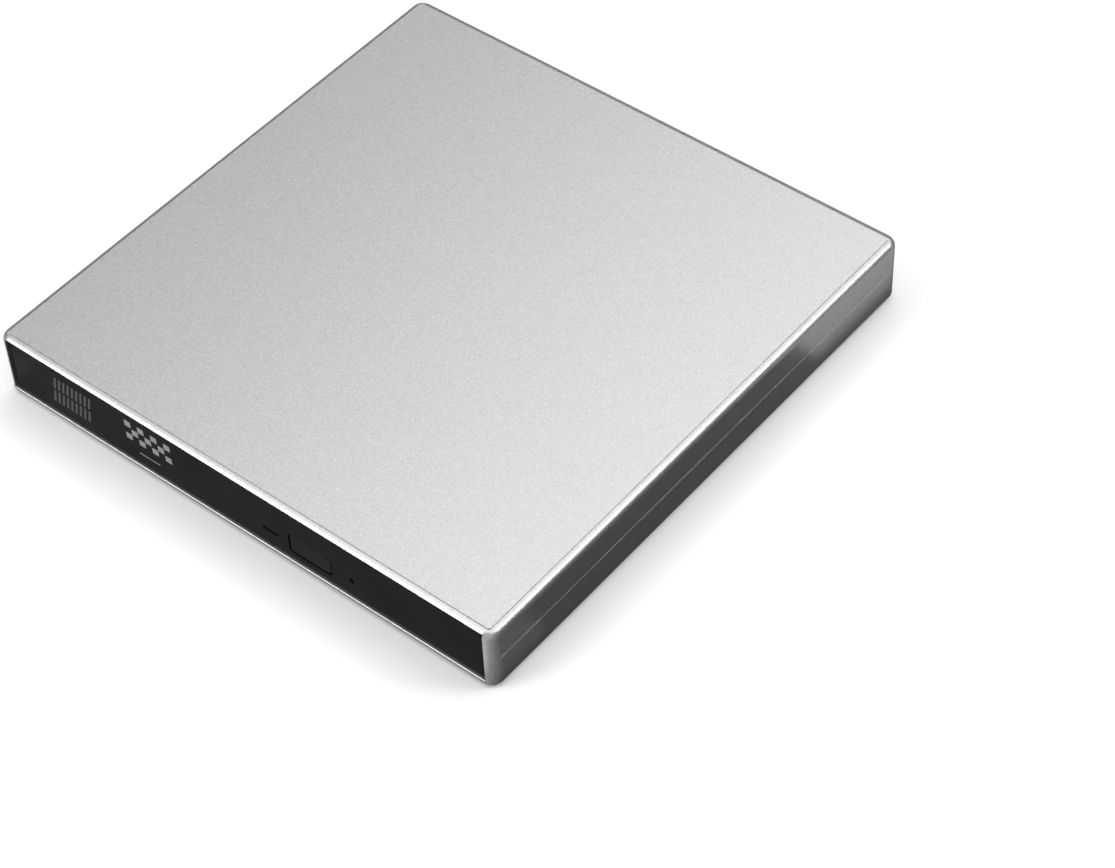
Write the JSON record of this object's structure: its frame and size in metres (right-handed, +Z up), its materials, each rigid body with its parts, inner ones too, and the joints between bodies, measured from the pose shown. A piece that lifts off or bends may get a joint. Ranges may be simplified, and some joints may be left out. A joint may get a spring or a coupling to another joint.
{
  "type": "external optical drive",
  "caption": "Slim external tray-loading optical drive: a flat silver case with a black bezel, eject button and sliding disc tray.",
  "frame": {"origin": "centre of the footprint, on the surface that the rubber feet stand on", "axes": "+Z up, through the flat top; -Y out of the bezel, the way the tray slides; +X to the right of someone facing the bezel"},
  "size_m": [0.145, 0.1474, 0.018],
  "materials": {
    "silver_case": "fine metallic silver paint, satin",
    "black_bezel": "satin moulded black",
    "tray_plastic": "fine-textured moulded black",
    "dark_plastic": "moulded black",
    "white_nylon": "moulded natural nylon",
    "rubber": "matt black rubber",
    "sheet_steel": "zinc-plated sheet",
    "bright_steel": "nickel-plated",
    "black_steel": "black-coated sheet",
    "screw_steel": "dark zinc",
    "circuit_board": "green solder mask",
    "chip_epoxy": "matt epoxy",
    "contact_gold": "gold-plated",
    "ribbon": "amber polyimide ribbon",
    "aluminium": "die-cast, as machined",
    "lens_glass": "coated lens",
    "status_lens": "smoked translucent"
  },
  "bodies": {
    "case": {"bottom_cover": "silver_case", "top_cover": "silver_case", "rubber_feet": "rubber", "case_screws": "screw_steel", "drive_pan": "sheet_steel", "drive_lid": "sheet_steel", "chassis_screws": "screw_steel", "lock_pin": "bright_steel", "left_rail_guide": "white_nylon", "right_rail_guide": "white_nylon", "bridge_board": "circuit_board", "board_screws": "screw_steel", "bridge_chip": "chip_epoxy", "clock_crystal": "bright_steel", "filter_capacitors": "dark_plastic", "usb_socket_shell": "bright_steel", "usb_socket_insulator": "dark_plastic", "usb_contacts": "contact_gold", "dc_jack_body": "dark_plastic", "dc_jack_pin": "bright_steel", "chassis_connector": "dark_plastic", "board_connector": "dark_plastic", "flex_cable": "ribbon"},
    "rails": {"left_slide_rail": "sheet_steel", "right_slide_rail": "sheet_steel"},
    "tray": {"tray_frame": "tray_plastic", "front_bezel": "black_bezel", "led_lens": "status_lens", "button_switch": "dark_plastic", "main_board": "circuit_board", "main_chips": "chip_epoxy", "tray_screws": "screw_steel", "mechanism_base": "black_steel", "mechanism_cover": "black_steel", "rubber_dampers": "rubber", "left_guide_rod": "bright_steel", "right_guide_rod": "bright_steel", "spindle_motor": "sheet_steel", "stepper_motor": "sheet_steel", "lock_solenoid": "dark_plastic", "ejector_barrel": "dark_plastic", "ejector_plunger": "white_nylon"},
    "button": {"eject_button": "black_bezel"},
    "spindle": {"spindle_hub": "aluminium", "turntable_ring": "rubber"},
    "claw_1": {"hub_claw_1": "white_nylon"},
    "claw_2": {"hub_claw_2": "white_nylon"},
    "claw_3": {"hub_claw_3": "white_nylon"},
    "sled": {"pickup_sled": "aluminium", "sled_nut": "white_nylon", "laser_diode": "contact_gold", "sled_top_plate": "sheet_steel"},
    "lens": {"lens_holder": "dark_plastic", "objective_lens": "lens_glass"},
    "screw": {"lead_screw": "bright_steel"},
    "lock": {"lock_lever": "white_nylon"}
  },
  "joints": [
    {"name": "tray_slide", "type": "slide", "parent": "case", "child": "tray", "axis": [0, -1, 0], "range_m": [0, 0.128]},
    {"name": "rails_slide", "type": "slide", "parent": "case", "child": "rails", "axis": [0, -1, 0], "range_m": [0, 0.064]},
    {"name": "button_press", "type": "slide", "parent": "tray", "child": "button", "axis": [0, 1, 0], "range_m": [0, 0.0005], "stiffness_N_per_m": 400},
    {"name": "spindle_spin", "type": "hinge", "parent": "tray", "child": "spindle", "pos_m": [0, -0.006, 0.0125], "axis": [0, 0, 1], "continuous": true},
    {"name": "claw_1_press", "type": "slide", "parent": "spindle", "child": "claw_1", "axis": [-0.7071, 0.7071, 0], "range_m": [0, 0.0005], "stiffness_N_per_m": 300},
    {"name": "claw_2_press", "type": "slide", "parent": "spindle", "child": "claw_2", "axis": [-0.2588, -0.9659, 0], "range_m": [0, 0.0005], "stiffness_N_per_m": 300},
    {"name": "claw_3_press", "type": "slide", "parent": "spindle", "child": "claw_3", "axis": [0.9659, 0.2588, 0], "range_m": [0, 0.0005], "stiffness_N_per_m": 300},
    {"name": "sled_travel", "type": "slide", "parent": "tray", "child": "sled", "axis": [0.7071, -0.7071, 0], "range_m": [0, 0.032]},
    {"name": "lens_focus", "type": "slide", "parent": "sled", "child": "lens", "axis": [0, 0, 1], "range_m": [-0.0003, 0.0003], "stiffness_N_per_m": 60},
    {"name": "screw_turn", "type": "hinge", "parent": "tray", "child": "screw", "pos_m": [0.0244, -0.01413, 0.0075], "axis": [0.7071, -0.7071, 0], "range_deg": [0, 3840]},
    {"name": "lock_swing", "type": "hinge", "parent": "tray", "child": "lock", "pos_m": [-0.044, -0.012, 0.0057], "axis": [0, 0, 1], "range_deg": [0, 16], "stiffness_Nm_per_rad": 0.002}
  ],
  "couplings": [
    {"joint": "rails_slide", "follows": "tray_slide", "ratio": 0.5},
    {"joint": "claw_2_press", "follows": "claw_1_press", "ratio": 1},
    {"joint": "claw_3_press", "follows": "claw_1_press", "ratio": 1},
    {"joint": "screw_turn", "follows": "sled_travel", "rad_per_m": 2094.4}
  ]
}
